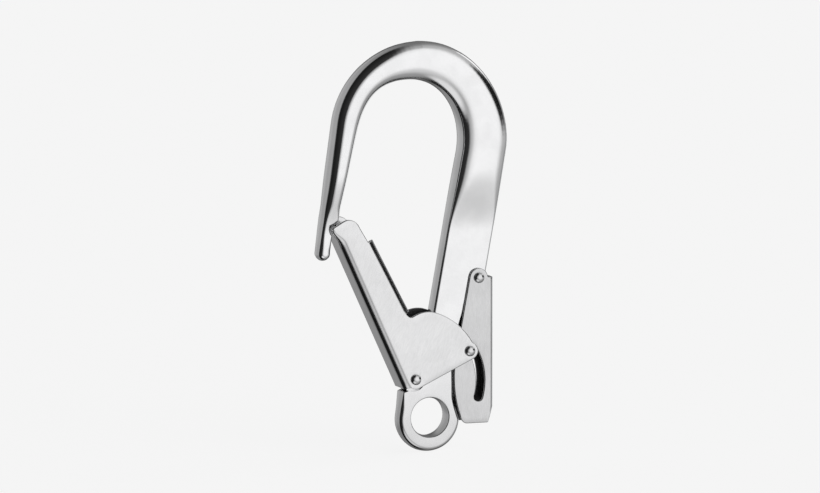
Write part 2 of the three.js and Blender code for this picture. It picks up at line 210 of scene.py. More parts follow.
def circle(x, z, radius, count):
    angles = -np.arange(count) * 2 * np.pi / count
    return np.column_stack([x + radius * np.cos(angles), z + radius * np.sin(angles)])


def counter_clockwise(loop):
    x, z = loop.T
    area = np.sum(x * np.roll(z, -1) - np.roll(x, -1) * z)
    return loop if area > 0 else loop[::-1]


def turn(points, degrees):
    """Turn points about the origin; a positive angle takes the top towards +x."""
    c, s = math.cos(math.radians(degrees)), math.sin(math.radians(degrees))
    x, z = np.asarray(points, float).T
    return np.column_stack([x * c + z * s, z * c - x * s])


def body_outline():
    """Clockwise from the top of the bow, with the eye's centre at the origin."""
    path = Path(-4.87, 208.2)
    path.curve((29.4, 208.2), (49.8, 171.6), (45.1, 146)).line(38.8, 108).line(33.07, 76.6)
    path.arc(*LEVER_PIVOT_FROM_EYE, 5, 0, -110)
    path.curve((21, 58), (14.5, 44), (14, 30)).line(14.6, 11)
    path.curve((15, 8.5), (16.2, 4), (18.05, -1.5))
    path.arc(0, -1.2, 18.05, -1, -190)
    path.line(-15.9, 14.9).line(-12.9, 16.2)
    path.arc(*GATE_PIVOT_FROM_EYE, 5.6, 225, 153.2)
    path.line(1.2, 56).line(10.7, 108).line(18.3, 146)
    path.curve((22.2, 167.9), (9, 187.4), (-11.5, 187.4))
    path.curve((-36.6, 187.4), (-40.2, 166.1), (-43.1, 154)).line(-52.8, 110.5)
    path.arc(-55.6, 105.9, 2.2, 60, 245)
    path.arc(-61, 93, 3.9, -3, -188)
    path.arc(-4.87, 157.48, 50.5, 172, 96)
    return path.array()


def sheet_columns(sheet):
    """Flat-pattern distance from the web's middle to the bend, and to the cheek."""
    bend_start = sheet["half"] - sheet["bend"]
    return bend_start, bend_start + sheet["bend"] * math.pi / 2


def pattern_x(sheet, x):
    """Flat-pattern place of a point x on the cheek; the web's outer face is at -web."""
    return sheet_columns(sheet)[1] + x + sheet["web"] - sheet["bend"]


def mirrored_pattern(half):
    """The whole flat pattern from the half that runs from the web's foot to the web's top."""
    return np.vstack([half, half[::-1] * [-1, 1]])


def gate_pattern():
    """Flat pattern of the gate: pivot height at 0, fan to the right, lip as a tab."""
    cheek = Path(GATE["bend"] - GATE["web"], -2.8)
    cheek.arc(0, 0, 5.4, 212, 271)
    cheek.arc(PIN_DISTANCE, 0, 4.9, -89, 43.7)
    cheek.arc(0, 0, 38.5, 5.1, 50)
    cheek.curve((19.4, 33.2), (12.8, 32.5)).curve((11.0, 32.5), (10.6, 34.3))
    tab = LIP["bend"] * math.radians(LIP["turn"])
    cheek.line(9.9, 35.3).line(LIP["foot"][0] + tab, LIP["foot"][1])
    cheek.line(LIP["top"][0] + tab, LIP["top"][1]).line(LIP["shoulder"], LIP["top"][1])
    cheek.arc(-1, 92, 6.8, -5, 90)
    points = cheek.array()
    points[:, 0] = pattern_x(GATE, points[:, 0])
    bend_start, bend_stop = sheet_columns(GATE)
    foot = [[0, -2.2], [bend_start, -2.2]]
    top = [[bend_stop, 98.2], [bend_stop - 3.6, 96.6], [bend_start, 95.4], [0, 95.2]]
    return mirrored_pattern(np.vstack([foot, points, top]))


def lever_pattern():
    """Flat pattern of the lever, mirrored so that its web is on the left: pivot height at 0."""
    cheek = Path(LEVER["bend"] - LEVER["web"], -78.4).line(-5.4, -80.8).line(7, -80.8)
    cheek.curve((10.2, -80.4), (11.1, -75.7))
    cheek.curve((14.7, -66), (15.4, -54), (13.5, -43.6))
    cheek.arc(0, 0, 5.3, 10, 177.8)
    cheek.line(LEVER["bend"] - LEVER["web"], 0.2)
    points = cheek.array()
    points[:, 0] = pattern_x(LEVER, points[:, 0])
    bend_start, bend_stop = sheet_columns(LEVER)
    foot = [[0, -71.2], [bend_start, -71.2], [(bend_start + bend_stop) / 2, -73.0]]
    top = [[bend_start, 0.2], [0, 0.2]]
    return mirrored_pattern(np.vstack([foot, points, top]))


def slot_outline():
    """The lever's hook-shaped slot about the lever's pivot: a long arc and a short leg that locks."""
    to_gate = turn([GATE_PIVOT - LEVER_PIVOT], -LEVER_PRESS)[0]
    rest = LOCK_PIN - LEVER_PIVOT
    top, bottom, inner_top = 31.0, -15.0, 23.0

    def on_run(angle, radius=PIN_DISTANCE):
        angle = math.radians(angle)
        return to_gate + radius * np.array([math.cos(angle), math.sin(angle)])

    leg = rest - on_run(top)
    leg_angle = math.degrees(math.atan2(leg[1], leg[0])) % 360
    path = Path(*on_run(bottom, PIN_DISTANCE + SLOT_HALF))
    path.arc(*to_gate, PIN_DISTANCE + SLOT_HALF, bottom, top)
    path.arc(*on_run(top), SLOT_HALF, top, leg_angle - 90)
    path.arc(*rest, SLOT_HALF, leg_angle - 90, leg_angle + 90)
    path.arc(*to_gate, PIN_DISTANCE - SLOT_HALF, inner_top, bottom)
    path.arc(*on_run(bottom), SLOT_HALF, bottom + 180, bottom + 360)
    return path.array()


# ---- slab mesher ---------------------------------------------------------

SLIVER = 0.003                     # millimetres; triangles flatter than this lie outside a straight edge
ROOM_SHARE = 0.72                  # of the room inside an outline, for its edge rounding
SMOOTHING = 8                      # points on each side that even out the rounding
LEAST_DEPTH = 0.1                  # of the rounding
SIDE_RINGS = (-0.6, 0.0, 0.6)      # rings on a bulging side; 0 is the mid-plane
CLEARANCE = 0.45                   # share of the grid's spacing kept free along the outlines


def inward_normals(loop):
    """Unit normals that point into the material: outlines run counter-clockwise, holes clockwise."""
    tangent = np.roll(loop, -1, axis=0) - np.roll(loop, 1, axis=0)
    normal = np.column_stack([-tangent[:, 1], tangent[:, 0]])
    return normal / np.hypot(*normal.T)[:, None]


def room_inside(loop, normals, everything):
    """Radius of the largest circle that fits inside, touching the outline at each of its points."""
    between = everything[None, :, :] - loop[:, None, :]
    ahead = np.einsum("ijk,ik->ij", between, normals)
    squared = np.einsum("ijk,ijk->ij", between, between)
    radius = np.where(ahead > 1e-3, squared / np.maximum(2 * ahead, 1e-9), np.inf)
    return radius.min(axis=1)


def smoothed(values, reach):
    """A running mean round a closed loop that never rises above the values near it."""
    lowest = np.min([np.roll(values, s) for s in range(-reach, reach + 1)], axis=0)
    return np.mean([np.roll(lowest, s) for s in range(-reach, reach + 1)], axis=0)


def is_inside(points, loops):
    """Even-odd test of points against closed loops."""
    inside = np.zeros(len(points), bool)
    px, pz = points.T
    for loop in loops:
        ax, az = loop.T
        bx, bz = np.roll(loop, -1, axis=0).T
        for x0, z0, x1, z1 in zip(ax, az, bx, bz):
            if z0 == z1:
                continue
            crosses = (z0 > pz) != (z1 > pz)
            inside ^= crosses & (px < (x1 - x0) * (pz - z0) / (z1 - z0) + x0)
    return inside


def inner_points(loops, columns, rows):
    """Grid points inside the loops, kept clear of the loops' own points."""
    grid = np.array([(x, z) for x in columns for z in rows])
    grid = grid[is_inside(grid, loops)]
    border = np.vstack(loops)
    clear = CLEARANCE * min(np.diff(columns).max(), np.diff(rows).max())
    nearest = np.array([np.hypot(*(border - p).T).min() for p in grid])
    return grid[nearest > clear]


def triangulate(loops, extra):
    """Points and triangles that fill the loops and use the extra points."""
    points = np.vstack(loops + [extra])
    edges, start = [], 0
    for loop in loops:
        count = len(loop)
        edges += [(start + i, start + (i + 1) % count) for i in range(count)]
        start += count
    made = delaunay_2d_cdt([Vector(p) for p in points], edges, [], 0, 1e-6, True)
    vertices = np.array([tuple(v) for v in made[0]])
    triangles = np.array(made[2])
    corners = vertices[triangles]
    sides = np.roll(corners, -1, axis=1) - corners
    doubled_area = np.abs(sides[:, 0, 0] * sides[:, 1, 1] - sides[:, 0, 1] * sides[:, 1, 0])
    height = doubled_area / np.linalg.norm(sides, axis=2).max(axis=1)
    triangles = triangles[(height > SLIVER) & is_inside(corners.mean(axis=1), loops)]
    origin = [source[0] if source else -1 for source in made[3]]
    return vertices, triangles, origin


def edge_rings(loop, everything, reach, depth, thickness, steps, draft):
    """Rings of points over one outline's edge, as front, back and middle, and the outline inside them."""
    normals = inward_normals(loop)
    room = ROOM_SHARE * room_inside(loop, normals, everything)
    limited = smoothed(np.minimum(reach, room), SMOOTHING)
    down = np.minimum(depth, np.maximum(limited, LEAST_DEPTH))
    front, back, middle = [], [], []
    for angle in np.linspace(0, math.pi / 2, steps + 1):
        flat = loop + normals * (draft + limited * (1 - math.cos(angle)))[:, None]
        level = down * (1 - math.sin(angle))
        front.append(np.column_stack([flat, level]))
        back.append(np.column_stack([flat, thickness - level]))
    for share in SIDE_RINGS if draft else ():
        flat = loop + normals * draft * share**2
        middle.append(np.column_stack([flat, thickness / 2 + share * (thickness / 2 - down)]))
    return front, back, middle, loop + normals * (draft + limited)[:, None]


def add_rings(vertices, rings):
    """Add rings of points to the vertices. Returns the index where each ring starts."""
    starts = []
    for ring in rings:
        starts.append(len(vertices))
        vertices.extend(ring)
    return starts


def stitched(starts, count):
    """Faces between each ring of points and the next."""
    faces = []
    for a, b in zip(starts, starts[1:]):
        for i in range(count):
            j = (i + 1) % count
            faces.append((a + i, a + j, b + j, b + i))
    return faces


def fill_face(vertices, inner, filling, rims, level, flip):
    """Faces of one flat side. It uses the rims' own points, and adds the ones between them."""
    filled, triangles, origin = filling
    starts = np.cumsum([0] + [len(loop) for loop in inner])
    index = []
    for place, source in zip(filled, origin):
        ring = np.searchsorted(starts, source, side="right") - 1
        if 0 <= source < starts[-1]:
            index.append(rims[ring] + source - starts[ring])
        else:
            index.append(len(vertices))
            vertices.append(np.array([place[0], place[1], level]))
    faces = [(index[a], index[b], index[c]) for a, b, c in triangles]
    return [face[::-1] for face in faces] if flip else faces


def slab(loops, thickness, reach, depth, columns, rows, steps, draft=0.0):
    """A plate with rounded edges. Returns vertices (x, z, depth below the front face) and faces.

    reach and depth give, for each loop, how far its edge rounding runs in from the edge and down.
    draft is how far the sides bulge out at the mid-plane.
    """
    everything = np.vstack(loops)
    vertices, faces, front_rims, back_rims, inner = [], [], [], [], []
    for loop, loop_reach, loop_depth in zip(loops, reach, depth):
        made = edge_rings(loop, everything, loop_reach, loop_depth, thickness, steps, draft)
        front, back, middle = [add_rings(vertices, rings) for rings in made[:3]]
        faces += stitched(front[::-1] + middle + back, len(loop))
        front_rims.append(front[-1])
        back_rims.append(back[-1])
        inner.append(made[3])
    filling = triangulate(inner, inner_points(inner, columns, rows))
    faces += fill_face(vertices, inner, filling, front_rims, 0.0, True)
    faces += fill_face(vertices, inner, filling, back_rims, thickness, False)
    return np.array(vertices), faces


def mesh_piece(name, places, faces, body, material, replaced):
    """A smooth-shaded object from points in millimetres, riding on a body in place of CAD nodes."""
    mesh = bpy.data.meshes.new(name)
    mesh.from_pydata([tuple(p) for p in np.asarray(places) * MM], [], faces)
    mesh.validate()
    mesh.shade_smooth()
    mesh.materials.append(material)
    piece = bpy.data.objects.new(name, mesh)
    bpy.context.scene.collection.objects.link(piece)
    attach(piece, body)
    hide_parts(*replaced)
    return piece


def outward(piece):
    """Turn every face outwards."""
    work = bmesh.new()
    work.from_mesh(piece.data)
    bmesh.ops.recalc_face_normals(work, faces=work.faces)
    work.to_mesh(piece.data)
    work.free()


# ---- node materials ------------------------------------------------------


class Nodes:
    """Short calls for building a node tree."""

    def __init__(self, tree):
        self.tree = tree
        tree.nodes.clear()

    def add(self, kind, inputs=None, **settings):
        node = self.tree.nodes.new(kind)
        for key, value in settings.items():
            setattr(node, key, value)
        for key, value in (inputs or {}).items():
            if isinstance(value, bpy.types.NodeSocket):
                self.tree.links.new(value, node.inputs[key])
            else:
                node.inputs[key].default_value = value
        return node

    def math(self, operation, a, b=0.0):
        return self.add("ShaderNodeMath", {0: a, 1: b}, operation=operation).outputs[0]

    def noise(self, vector, scale, detail, roughness=0.5):
        inputs = {"Vector": vector, "Scale": scale, "Detail": detail, "Roughness": roughness}
        return self.add("ShaderNodeTexNoise", inputs).outputs["Fac"]

    def spread(self, value, low, high, to_low, to_high):
        inputs = {"Value": value, "From Min": low, "From Max": high, "To Min": to_low, "To Max": to_high}
        return self.add("ShaderNodeMapRange", inputs, interpolation_type="SMOOTHSTEP").outputs["Result"]

    def bump(self, height, distance, under=None):
        inputs = {"Height": height, "Distance": distance, "Strength": 1.0}
        if under is not None:
            inputs["Normal"] = under
        return self.add("ShaderNodeBump", inputs).outputs["Normal"]


# Noise in the plating: scale, detail and roughness.
RIPPLE = (42, 2, 0.5)
DRIFT = (85, 4, 0.5)
SPECKLE = (2600, 2, 0.5)
SCRATCHES = (900, 5, 0.65)

MIDDLE = (0.3, 0.7)                # the range that holds most of a noise's values
WIDE = (0.2, 0.8)
DRIFT_TONES = (0.955, 1.02)        # shares of the tone
SPECKLE_TONE = 0.02
EDGE_POINTINESS = (0.5, 0.56)
EDGE_HIGHLIGHT = 0.03                   # painted highlight: convex edges are brighter by this
EYE_SHADE_SHARE = 0.8                    # painted shade: share of the full tone left at the eye, where less light falls
BLUE_SHARE = 1.008
SCRATCH_GLOSS = (0.8, 1.25)        # shares of the roughness
RIPPLE_GLOSS = (0.85, 1.15)
SPECKLE_GRAIN = 0.5                # share of the grain's depth


def steel(name, tone, roughness, waviness, grain, brushing=None, lean=0.0, shade_below=None):
    """Plated steel: soft colour drift, fine grain, slow ripple and a painted highlight on convex edges.

    waviness and grain are bump depths in metres; brushing is the lengthways stretch of the scratches.
    The last argument is a height in metres under which the colour darkens towards the bottom, a painted
    shade.
    """
    material = bpy.data.materials.new(name)
    material.use_nodes = True
    nodes = Nodes(material.node_tree)
    place = nodes.add("ShaderNodeTexCoord").outputs["Object"]
    turned = nodes.add("ShaderNodeMapping", {"Vector": place, "Rotation": (0, math.radians(lean), 0)})
    along = nodes.add("ShaderNodeMapping", {"Vector": turned.outputs[0], "Scale": (1, 1, brushing or 1)})

    ripple = nodes.noise(place, *RIPPLE)
    drift = nodes.noise(place, *DRIFT)
    speckle = nodes.noise(along.outputs[0], *SPECKLE)
    scratches = nodes.noise(along.outputs[0], *SCRATCHES)
    pointiness = nodes.add("ShaderNodeNewGeometry").outputs["Pointiness"]
    edge = nodes.spread(pointiness, *EDGE_POINTINESS, 0, 1)

    shade = nodes.spread(drift, *MIDDLE, *(tone * share for share in DRIFT_TONES))
    shade = nodes.math("ADD", shade, nodes.spread(speckle, *MIDDLE, -SPECKLE_TONE, SPECKLE_TONE))
    # painted highlight: brighter colour along convex edges
    shade = nodes.math("ADD", shade, nodes.math("MULTIPLY", edge, EDGE_HIGHLIGHT))
    if shade_below:
        # painted shade: the tone falls towards the bottom, where the body gets less light
        height = nodes.add("ShaderNodeSeparateXYZ", {"Vector": place}).outputs["Z"]
        shade = nodes.math("MULTIPLY", shade, nodes.spread(height, 0.0, shade_below, EYE_SHADE_SHARE, 1.0))
    colour = nodes.add("ShaderNodeCombineColor", {"Red": shade, "Green": shade})
    nodes.tree.links.new(nodes.math("MULTIPLY", shade, BLUE_SHARE), colour.inputs["Blue"])

    gloss = nodes.spread(scratches, *WIDE, *(roughness * share for share in SCRATCH_GLOSS))
    gloss = nodes.math("MULTIPLY", gloss, nodes.spread(ripple, *MIDDLE, *RIPPLE_GLOSS))

    normal = nodes.bump(ripple, waviness)
    normal = nodes.bump(scratches, grain, normal)
    normal = nodes.bump(speckle, grain * SPECKLE_GRAIN, normal)

    inputs = {"Base Color": colour.outputs[0], "Metallic": 1.0, "Roughness": gloss, "Normal": normal}
    surface = nodes.add("ShaderNodeBsdfPrincipled", inputs)
    nodes.add("ShaderNodeOutputMaterial", {"Surface": surface.outputs[0]})
    return material


# height in metres under which the body's colour is darkened as painted shade
SHADE_BELOW = 0.07
SHEET_BRUSHING = 0.12

# Each steel's tone, roughness, depth of its waves and depth of its grain.
FORGED = steel("forged_steel", 0.80, 0.13, 3.0e-5, 2.6e-6, shade_below=SHADE_BELOW)
SHEET = steel("gate_steel", 0.71, 0.17, 1.2e-5, 1.5e-6, SHEET_BRUSHING, -GATE_LEAN)
LEVER_PLATE = steel("lever_steel", 0.61, 0.22, 1.2e-5, 1.8e-6, SHEET_BRUSHING)
# painted shade: near-black steel for the channels' insides, where little light reaches
SHADED_INSIDE = steel("painted_shade_inside", 0.07, 0.5, 1.2e-5, 3.0e-6)
BRIGHT = steel("rivet_steel", 0.68, 0.1, 2.0e-6, 8.0e-7)
TURNED = steel("bush_steel", 0.62, 0.28, 2.0e-6, 2.0e-6)
DRAWN = steel("spring_steel", 0.5, 0.3, 2.0e-6, 2.0e-6)

# ---- forged body ---------------------------------------------------------


def step_between(value, low, high):
    """0 below low, 1 above high, smooth between."""
    t = np.clip((value - low) / (high - low), 0, 1)
    return t * t * (3 - 2 * t)


def body_edges(loop):
    """Reach and depth of the edge rounding along the body: tight at shank and eye, wide on the bow."""
    x, z = loop.T
    nose_side = step_between(-x, *NOSE_BLEND)
    bow = np.maximum(step_between(z, *BOW_SWELL), nose_side * (z > NOSE_FROM))
    eye = 1 - step_between(z, *EYE_BLEND)
    tight = SHANK_EDGE + (EYE_EDGE - SHANK_EDGE) * eye
    reach = tight + (BOW_EDGE["reach"] - tight) * bow
    bow_depth = BOW_EDGE["depth"] + (BOW_EDGE["nose_depth"] - BOW_EDGE["depth"]) * nose_side
    depth = tight + (bow_depth - tight) * bow
    return reach, depth


def cut(piece, radius, start, stop):
    """Cut a round hole between two points in millimetres."""
    start, stop = Vector(start) * MM, Vector(stop) * MM
    length = (stop - start).length
    bpy.ops.mesh.primitive_cylinder_add(vertices=CUTTER_SIDES, radius=radius * MM, depth=length)
    tool = bpy.context.object
    tool.location = (start + stop) / 2
    tool.rotation_mode = "QUATERNION"
    tool.rotation_quaternion = (stop - start).to_track_quat("Z", "Y")
    bpy.context.view_layer.update()
    boolean = piece.modifiers.new("cut", "BOOLEAN")
    boolean.operation = "DIFFERENCE"
    boolean.solver = "EXACT"
    boolean.object = tool
    graph = bpy.context.evaluated_depsgraph_get()
    result = bpy.data.meshes.new_from_object(piece.evaluated_get(graph))
    piece.modifiers.remove(boolean)
    piece.data = result
    bpy.data.objects.remove(tool)


def cut_body(piece):
    """The recesses beside the gate's pivot, the two bores and the lever spring's seat."""
    half = SHANK_THICKNESS / 2
    for side in (-1, 1):
        middle = (GATE_PIVOT[0], side * POCKET["floor"], GATE_PIVOT[1])
        outside = (GATE_PIVOT[0], side * (half + PAST), GATE_PIVOT[1])
        cut(piece, POCKET["radius"], middle, outside)
    for pivot, radius in ((GATE_PIVOT, BUSH_BORE), (LEVER_PIVOT, RIVET_BORE)):
        cut(piece, radius, (pivot[0], -half - PAST, pivot[1]), (pivot[0], half + PAST, pivot[1]))
    level = EYE_CENTRE[1] + SPRING_SEAT["height"]
    ends = [(EYE_CENTRE[0] + SPRING_SEAT[key], 0, level) for key in ("floor", "mouth")]
    cut(piece, SPRING_SEAT["radius"], *ends)


def make_body():
    outline = counter_clockwise(closed_loop(body_outline(), BODY_SPACING, soften=BODY_SOFTENING))
    eye = circle(0, 0, EYE_HOLE_RADIUS, EYE_POINTS)
    reach, depth = body_edges(outline)
    eye_edge = np.full(len(eye), EYE_HOLE_EDGE)
    edges = [reach, eye_edge], [depth, eye_edge]
    grid = np.arange(*BODY_COLUMNS), np.arange(*BODY_ROWS)
    places, faces = slab([outline, eye], SHANK_THICKNESS, *edges, *grid, steps=8, draft=BODY_DRAFT)
    x, z, down = places.T
    swell = 1 + (BOW_THICKNESS / SHANK_THICKNESS - 1) * step_between(z, *BOW_SWELL)
    y = (down - SHANK_THICKNESS / 2) * swell
    points = np.column_stack([x + EYE_CENTRE[0], y, z + EYE_CENTRE[1]])
    piece = mesh_piece("forged_body", points, faces, "hook", FORGED, ["hook_body"])
    outward(piece)
    cut_body(piece)
    piece.data.shade_smooth()
    piece.data.set_sharp_from_angle(angle=math.radians(BODY_SHARP_ANGLE))


# ---- pressed sheet -------------------------------------------------------


def fold(sheet, pattern, depth, tip=None):
    """Fold flat-pattern points into a channel. Returns x, y, z with the web's outer face at x = -web."""
    across, z = pattern.T
    bend_start, bend_stop = sheet_columns(sheet)
    nearness = step_between(z, tip["from"], tip["to"]) if tip else np.zeros(len(z))
    outer = sheet["bend"] + ((tip["bend"] if tip else 0) - sheet["bend"]) * nearness
    radius = np.maximum(outer - depth, LEAST_BEND)
    wall = -sheet["web"] + depth
    cheek = sheet["half"] - depth
    u = np.abs(across)
    angle = np.clip((u - bend_start) / (bend_stop - bend_start), 0, 1) * math.pi / 2

    on_web = u <= bend_start
    on_cheek = u >= bend_stop
    x = wall + radius * (1 - np.cos(angle))
    y = cheek - radius + radius * np.sin(angle)
    y = np.where(on_web, u / bend_start * (cheek - radius), y)
    flat_x = u - bend_stop - sheet["web"] + sheet["bend"]
    settled = sheet["bend"] - sheet["web"] + EASE_LENGTH
    stretch = settled - wall - radius
    eased = (wall + radius) + (flat_x + sheet["web"] - sheet["bend"]) * stretch / EASE_LENGTH
    x = np.where(on_cheek, np.where(flat_x < settled, eased, flat_x), x)
    y = np.where(on_cheek, cheek, y)
    if tip:
        outside = step_between(y, *FLARE_DEPTH) * (1 - step_between(x, *FLARE_END))
        x = x - tip["flare"] * nearness * outside
    return x, y * np.sign(across + 1e-12), z


def curl_lip(x, y, z, sheet, depth):
    """Curl the cheek's inner edge inwards along the lip's line."""
    foot, top = np.array(LIP["foot"]), np.array(LIP["top"])
    length = np.hypot(*(top - foot))
    along = (top - foot) / length
    across = np.array([along[1], -along[0]])
    offset = np.column_stack([x, z]) - foot
    beyond = offset @ across
    lengthways = offset @ along
    on_lip = (beyond > 0) & (lengthways > -LIP_MARGIN) & (lengthways < length + LIP_MARGIN)
    angle = np.clip(beyond / LIP["bend"], 0, math.radians(LIP["turn"]))
    inner = LIP["bend"] - depth
    bent = foot + lengthways[:, None] * along + (inner * np.sin(angle))[:, None] * across
    level = np.sign(y) * (sheet["half"] - LIP["bend"] + inner * np.cos(angle))
    x = np.where(on_lip, bent[:, 0], x)
    z = np.where(on_lip, bent[:, 1], z)
    return x, np.where(on_lip, level, y), z


def sheet_grid(sheet, reach):
    """Columns for the flat pattern, close together over the bends."""
    bend_start, bend_stop = sheet_columns(sheet)
    half = np.concatenate([
        np.arange(0, bend_start - FINE, COARSE),
        np.arange(bend_start, bend_stop + FINE, FINE),
        np.arange(bend_stop + COARSE, reach, COARSE),
    ])
    return np.concatenate([-half[:0:-1], half])


def sheet_slab(sheet, pattern, holes, columns, rows):
    """Vertices and faces of the flat blank with rounded edges."""
    blank = counter_clockwise(closed_loop(pattern, SHEET_SPACING, soften=1.0))
    loops = [blank] + [counter_clockwise(hole)[::-1] for hole in holes]
    edges = [np.full(len(loop), sheet["edge"]) for loop in loops]
    return slab(loops, sheet["sheet"], edges, edges, columns, rows, steps=4)


def darken_inside(piece, pattern, sheet, height):
    """Paint the inner side of a folded sheet near-black as shade, where little light gets in, up to a
    height on its pattern.
    """
    piece.data.materials.append(SHADED_INSIDE)
    depth = sheet["sheet"] - 0.5 * sheet["edge"]
    inner = (pattern[:, 2] > depth) & (pattern[:, 1] < height)
    for polygon in piece.data.polygons:
        polygon.material_index = int(all(inner[v] for v in polygon.vertices))


def rivet_holes(sheet, x):
    """A rivet's holes in both cheeks of the flat pattern."""
    return [circle(side * pattern_x(sheet, x), 0, RIVET_BORE, HOLE_POINTS) for side in (-1, 1)]


def make_gate():
    holes = rivet_holes(GATE, 0) + rivet_holes(GATE, PIN_DISTANCE)
    lip_columns = pattern_x(GATE, 0) + np.arange(*LIP_COLUMNS)
    columns = np.concatenate([sheet_grid(GATE, GATE_REACH), lip_columns, -lip_columns])
    columns = np.unique(np.round(columns, 3))
    rows = np.arange(*GATE_ROWS)
    flat, faces = sheet_slab(GATE, gate_pattern(), holes, columns, rows)
    x, y, z = fold(GATE, flat[:, :2], flat[:, 2], GATE_TIP)
    x, y, z = curl_lip(x, y, z, GATE, flat[:, 2])
    plane = turn(np.column_stack([x, z]), -GATE_LEAN) + GATE_PIVOT
    points = np.column_stack([plane[:, 0], y, plane[:, 1]])
    piece = mesh_piece("gate_channel", points, faces, "gate", SHEET, ["gate"])
    darken_inside(piece, flat, GATE, GATE_TIP["from"] - DARK_BELOW_TIP)
    outward(piece)


def make_lever():
    slot = closed_loop(slot_outline(), SHEET_SPACING, soften=0.6)
    slots = [np.column_stack([side * pattern_x(LEVER, -slot[:, 0]), slot[:, 1]]) for side in (-1, 1)]
    rows = np.arange(*LEVER_ROWS)
    columns = sheet_grid(LEVER, LEVER_REACH)
    flat, faces = sheet_slab(LEVER, lever_pattern(), rivet_holes(LEVER, 0) + slots, columns, rows)
    x, y, z = fold(LEVER, flat[:, :2], flat[:, 2])
    points = np.column_stack([LEVER_PIVOT[0] - x, y, LEVER_PIVOT[1] + z])
    piece = mesh_piece("lever_channel", points, faces, "lever", LEVER_PLATE, ["lock_lever"])
    darken_inside(piece, flat, LEVER, 0.0)
    outward(piece)


# ---- rivets, pin, bush and springs ----------------------------------------


def rivet_profile(seat, shank, neck, neck_length):
    """Half of a rivet as (radius, distance from the middle), from the dome's top to the middle."""
    profile = []
    for angle in np.linspace(0, math.pi / 2, DOME_POINTS):
        radius = HEAD_RADIUS * math.sin(angle) ** DOME_POWER
        profile.append((radius, seat + HEAD_RIM + (HEAD_HEIGHT - HEAD_RIM) * math.cos(angle)))
    corner = (HEAD_RADIUS - HEAD_FOOT["corner"], seat + HEAD_FOOT["rise"])
    profile += [corner, (HEAD_RADIUS - HEAD_FOOT["inset"], seat), (neck, seat)]
    if shank > neck:
        shoulder = seat - neck_length
        profile += [(neck, shoulder), (shank - PIN_CHAMFER, shoulder)]
        profile += [(shank, shoulder - PIN_CHAMFER)]
    return profile


def make_rivet(name, node, sheet, body, shank=SHANK_RADIUS, neck_length=0.0):
    """A pin with a domed head at each end, turned about the CAD pin's axis."""
    seat = sheet["half"] + HEAD_GAP
    half = rivet_profile(seat, shank, SHANK_RADIUS, neck_length)
    profile = half + [(r, -y) for r, y in reversed(half)]
    sides = RIVET_SIDES
    x0, z0 = centre_mm(node)
    points, faces = [], []
    for radius, y in profile[1:-1]:
        for angle in np.arange(sides) * 2 * math.pi / sides:
            points.append((x0 + radius * math.cos(angle), y, z0 + radius * math.sin(angle)))
    rings = len(profile) - 2
    for ring in range(rings - 1):
        for i in range(sides):
            a, b = ring * sides + i, ring * sides + (i + 1) % sides
            faces.append((a, b, b + sides, a + sides))
    for ring, (_, y) in ((0, profile[0]), (rings - 1, profile[-1])):
        top = len(points)
        points.append((x0, y, z0))
        for i in range(sides):
            faces.append((top, ring * sides + i, ring * sides + (i + 1) % sides))
    piece = mesh_piece(name, points, faces, body, BRIGHT, [node])
    outward(piece)
    piece.data.set_sharp_from_angle(angle=math.radians(RIVET_SHARP_ANGLE))


def dress(node, material, smoothing):
    """Give a hidden CAD piece its finish, and smooth its facets with modifiers."""
    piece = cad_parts[node]
    piece.data.materials.clear()
    piece.data.materials.append(material)
    weld = piece.modifiers.new("weld", "WELD")
    weld.merge_threshold = WELD_DISTANCE * MM
    if smoothing == "round":
        piece.modifiers.new("round", "SUBSURF").render_levels = 2
    else:
        bevel = piece.modifiers.new("edges", "BEVEL")
        bevel.width = BUSH_BEVEL * MM
        bevel.segments = 3
    piece.data.shade_smooth()


# ---- studio --------------------------------------------------------------

CAMERA_AZIMUTH = -20.0             # degrees, from the hook's front towards the nose side
CAMERA_ELEVATION = 7.25
CAMERA_LENS = 400.0
VIEW_WIDTH = 0.451                 # metres across the picture
FLOOR_SIZE, FLOOR_DROP = 12, 0.0002   # metres across, and below the eye
FLOOR_TONE, FLOOR_SHARE = 0.8, 0.25   # of the part that shows shadow
AIM = Vector((-0.0002, 0.0, 0.0003))   # from the middle of the hook's box
BACKGROUND = 0.924                 # linear value of the pale backdrop
FLOOR_GLOW = 1.24                  # makes up for the part of the floor that only shows shadow

# What the polished steel reflects, by angle in degrees from the front: (angle, brightness).
LEFT_LIGHTS = ((0, 1.12), (14, 1.0), (30, 0.55), (46, 0.03), (126, 0.012), (146, 0.42), (180, 0.52))
RIGHT_LIGHTS = ((0, 1.12), (28, 1.1), (56, 0.55), (100, 0.3), (135, 0.2), (160, 0.08), (180, 0.2))
SIDES_MEET = (-0.1, 0.3)           # where left turns into right, in a direction's x
LOW_LIGHT = (-0.42, -0.13, 0.68, 1.0)   # dimmer below: two values of a direction's z and their levels
FRONT = Vector((0.2, -0.97, 0.05)).normalized()

# Cards and flags hung in the room: (direction, inner and outer angle in degrees, brightness).
CARDS = (
    ((0.68, 0.68, -0.26), 10, 25, 0.95),     # lights the back face
    ((-0.24, -0.66, -0.71), 12, 30, 0.9),    # lights the front face seen from above
    ((0.87, -0.46, 0.18), 9, 17, 0.01),      # dark flags in a row, mirrored in the gate's lip
    ((0.96, -0.15, 0.20), 9, 17, 0.01),
    ((0.60, 0.20, -0.77), 10, 22, 0.05),     # dark flag under the lower edges of the sheet
    ((0.86, 0.13, 0.50), 8, 16, 1.2),        # bright card in the gate's curved rim
)


def ramp(nodes, value, stops):
    node = nodes.add("ShaderNodeValToRGB", {"Fac": value})
    node.color_ramp.interpolation = "EASE"
    marks = node.color_ramp.elements
    while len(marks) < len(stops):
        marks.new(0.5)
    for mark, (angle, level) in zip(marks, stops):
        mark.position = angle / 180
        mark.color = (level, level, level, 1)
    return node.outputs["Color"]


